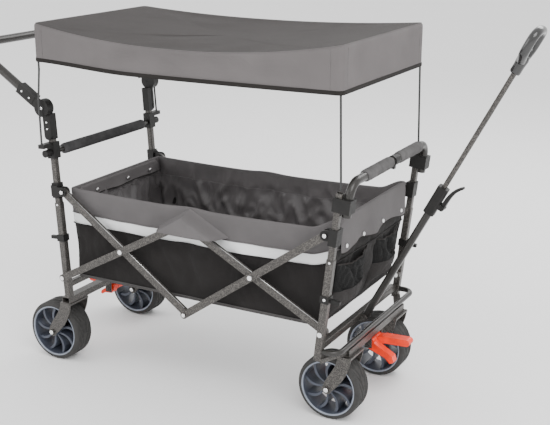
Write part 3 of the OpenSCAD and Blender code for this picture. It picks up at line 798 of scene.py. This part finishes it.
# ---------------------------------------------------------------- foam grips
def foam_grip(name, base, direction, span, radius, body, foam, nodes=()):
    """A foam sleeve along Y, a little uneven, with pinched ends."""
    steps = 48
    path = [Vector(base) + Vector(direction) * mix(span[0], span[1], i / steps) for i in range(steps + 1)]

    def section(t):
        end = min(t, 1 - t) * abs(span[1] - span[0])
        r = radius * (0.86 + 0.14 * smooth(end / 9)) + 0.5 * noise.noise(Vector((t * 9, radius, 3)))
        return (r, r)

    piece = soften(sweep(name, path, section, foam, steps=24))
    if nodes:
        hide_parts(*nodes)
    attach(piece, body)
    return piece


def along_rear(w):
    return (-PIVOT_REACH - w * math.sin(REAR_LEAN), 0, PIVOT_HEIGHT + w * math.cos(REAR_LEAN))


def along_front(w, out=0):
    return (PIVOT_REACH + w * math.sin(FRONT_LEAN) + out * math.cos(FRONT_LEAN), 0,
            PIVOT_HEIGHT + w * math.cos(FRONT_LEAN) - out * math.sin(FRONT_LEAN))


foam_grip("rear_foam", along_rear(391), ACROSS, (-206, 206), 16.3, "rear_upper", FOAM, ["rear_bar_foam"])
handlebar = along_front(429, 22)
foam_grip("front_foam_near", handlebar, ACROSS, (-180, -8), 16.8, "front_upper", LIGHT_FOAM,
          ["handlebar_grips"])
foam_grip("front_foam_far", handlebar, ACROSS, (44, 208), 16.8, "front_upper", LIGHT_FOAM)


# ---------------------------------------------------------------- wheels
def build_wheel(label, x, y, body):
    half = 37.4
    shoulder = 12
    profile = [(80.2, -half), (WHEEL_RADIUS - shoulder, -half)]
    profile += [(WHEEL_RADIUS - shoulder + shoulder * math.cos(a), -half + shoulder - shoulder * math.sin(a))
                for a in (math.radians(v) for v in (80, 65, 50, 35, 20, 8))]
    count = 22
    profile += [(WHEEL_RADIUS, mix(-half + shoulder, half - shoulder, k / count)) for k in range(count + 1)]
    profile += [(r, -h) for r, h in reversed(profile[:8])]
    first, last = 8, 8 + count

    def relief(i, k):
        if not first <= i <= last:
            return 0
        place = i - first
        if place in (7, 15):
            return 2.6
        slanted = (k + 2 * abs(place - 11)) % 12
        return 3.0 if slanted < 4 and place not in (10, 11, 12) else 0

    centre = (x, y, WHEEL_RADIUS)
    tyre = turned_ring(f"tyre_{label}", centre, ACROSS, profile, TYRE_RUBBER, steps=192, relief=relief)
    front_rear, side = label.split("_")
    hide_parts(f"{front_rear}_tyre_{side}")
    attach(tyre, body)
    lip_profile = [(77.2, 33), (77.4, 35.6), (78.4, 36.9), (79.8, 37.9), (81.2, 38.0), (81.8, 37.4),
                   (80.2, 36.2), (79.0, 33)]
    for sign in (-1, 1):
        ring = [(r, sign * h) for r, h in lip_profile]
        lip = turned_ring(f"rim_lip_{label}_{'in' if sign < 0 else 'out'}", centre, ACROSS, ring, RIM_EDGE)
        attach(lip, body)


for wheel_label, (wheel_x, wheel_y, wheel_body) in WHEELS.items():
    build_wheel(wheel_label, wheel_x, wheel_y, wheel_body)


# ---------------------------------------------------------------- pull grip
def pull_point(w, out=0.0, y=0.0):
    return Vector((450 + w * math.cos(PULL_ANGLE) + out * math.sin(PULL_ANGLE), y,
                   244 + w * math.sin(PULL_ANGLE) - out * math.cos(PULL_ANGLE)))


def build_pull_grip():
    """The D-shaped grip: a hub, and a smooth loop in the handle's own plane."""
    loop = []
    count = 72
    for k in range(count):
        a = 2 * math.pi * k / count
        c, s = math.cos(a), math.sin(a)
        y = 45 * math.copysign(abs(c) ** 0.72, c) * (0.82 + 0.18 * s)
        w = 917 + 45 * math.copysign(abs(s) ** 0.8, s)
        y *= 1 - 0.45 * smooth((905 - w) / 40)
        loop.append(pull_point(w, 0, y))
    axis_out = pull_point(0, 1) - pull_point(0, 0)
    ring = soften(sweep("grip_loop_piece", loop, (11.5, 12.5), GLOSS_BLACK, closed=True, steps=16,
                        twist_up=axis_out))
    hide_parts("pull_grip")
    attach(ring, "pull_grip")
    handle_axis = pull_point(1) - pull_point(0)
    hub_profile = [(8.2, 836), (13.6, 837), (14.6, 841), (14.4, 858), (15.2, 868), (16, 878), (13, 888),
                   (4, 892)]
    hub = lathe("grip_hub", pull_point(0), handle_axis, hub_profile, [GLOSS_BLACK], steps=48)
    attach(hub, "pull_grip")


build_pull_grip()


# ---------------------------------------------------------------- bright rivets on the black brackets
def bright_head(name, centre, side, body, radius=6.2):
    dome = [(radius, 0), (radius, 0.6), (radius * 0.8, 1.7), (radius * 0.45, 2.3), (0.3, 2.5)]
    head = lathe(name, centre, (0, side, 0), dome, [STEEL], steps=24)
    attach(head, body)


for wheel_label, (wheel_x, wheel_y, wheel_body) in WHEELS.items():
    holder = "rear_frame" if wheel_label.startswith("rear") else wheel_label.replace("front", "caster")
    for face in (-1, 1):
        end = (wheel_x, wheel_y + face * AXLE_HALF, WHEEL_RADIUS)
        bright_head(f"axle_head_{wheel_label}_{'in' if face < 0 else 'out'}", end, face, holder, 7)


def bright_edge(name, start, end, body):
    """A painted highlight: a bright metal strip along the upper edge of an inner link bar, standing in for the
    light that the coated edge catches.
    """
    a, b = Vector((start[0], 0, start[1])), Vector((end[0], 0, end[1]))
    along = (b - a).normalized()
    up = Vector((-along.z, 0, along.x))
    up = up if up.z > 0 else -up
    for side_name, sign in (("near", -1), ("far", 1)):
        base = up * (LINK_HALF - 0.4) + Vector((0, sign * 256.6, 0))
        path = [a + base + along * 14, b + base - along * 14]
        strip = sweep(f"{name}_{side_name}", path, (1.3, 1.3), EDGE_SHINE, steps=8)
        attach(strip, body)


# Painted highlights: bright strips along the upper edges of the inner link bars.
bright_edge("rear_drop_edge", (-430, 563), (0, 256), "rear_drop_link")
bright_edge("front_lift_edge", (442, 291), (0, 528), "front_lift_link")
PUSH_HINGE = Vector((-473.25, 0, 817.07))
PUSH_DIRECTION = (Vector((-732, 0, 985)) - PUSH_HINGE).normalized()
FRONT_HIGH = (450, 256 + 0.6947 * 450)
REAR_HIGH = (-430, 563)


def rivet_places():
    """One row for each rivet on a side: name, suffix, place in the side's plane, distance out, body, radius."""
    yield "bottom_rivet", "", (0, 0, 256), 272.3, "front_drop_link", 6.2
    yield "front_high_rivet", "", (FRONT_HIGH[0], 0, FRONT_HIGH[1]), 278.9, "front_upper", 6.2
    yield "rear_high_rivet", "", (REAR_HIGH[0], 0, REAR_HIGH[1]), 265.9, "rear_upper", 6.2
    for w in (462, 482):
        yield "hinge_rivet", f"_{w}", along_rear(w), 264.2, "rear_upper", 3.4
    yield "push_disc_rivet", "", PUSH_HINGE, 281, "push_handle", 5
    for reach in (50, 82):
        yield "arm_rivet", f"_{reach}", PUSH_HINGE + PUSH_DIRECTION * reach, 282.1, "push_handle", 3.4
    yield "rear_stop_rivet", "", along_rear(228), 256.4, "rear_frame", 3.6
    yield "front_stop_rivet", "", along_front(208), 281.4, "front_frame", 3.6
    yield "front_collar_rivet", "", along_front(103), 283.9, "front_frame", 4.5


for side_name, sign in (("near", -1), ("far", 1)):
    for rivet, suffix, place, outward, holder, radius in rivet_places():
        centre = (place[0], sign * outward, place[2])
        bright_head(f"{rivet}_{side_name}{suffix}", centre, sign, holder, radius)


# ---------------------------------------------------------------- stage, light, camera
def build_stage():
    half = 40000
    rows = [[(x, y, -0.5) for y in (-half, 0, half)] for x in (-half, 0, half)]
    pale = Shader("pale_floor", (0.95, 0.95, 0.95), 0.9)
    pale.vary_colour(pale.noise(2), 0.99, 1.0)
    floor = grid("floor_sheet", rows, [pale.material])


def area_light(name, location, target, size, power):
    data = bpy.data.lights.new(name, "AREA")
    data.shape = "RECTANGLE"
    data.size, data.size_y = size
    data.energy = power
    lamp = bpy.data.objects.new(name, data)
    lamp.location = location
    lamp.rotation_euler = (Vector(target) - Vector(location)).to_track_quat("-Z", "Y").to_euler()
    bpy.context.collection.objects.link(lamp)


def build_world(strength):
    world = bpy.data.worlds.new("studio")
    bpy.context.scene.world = world
    world.use_nodes = True
    background = world.node_tree.nodes["Background"]
    background.inputs["Color"].default_value = (1, 1, 1, 1)
    background.inputs["Strength"].default_value = strength


build_stage()
build_world(1.45)
area_light("key", (2.4, -2.2, 3.4), (0, 0, 0.5), (2.5, 2.5), 120)
area_light("rim", (0.8, 3.0, 3.0), (0, 0, 0.6), (2.5, 1.5), 60)
area_light("fill", (-3.2, -2.6, 2.0), (0, 0, 0.5), (3, 2), 45)

camera_data = bpy.data.cameras.new("camera")
camera_data.sensor_width = 36
camera_data.lens = 68.95
camera = bpy.data.objects.new("camera", camera_data)
camera.location = (1.498, -2.613, 1.416)
camera.rotation_euler = (math.radians(73.18), 0, math.radians(28.69))
bpy.context.collection.objects.link(camera)
bpy.context.scene.camera = camera
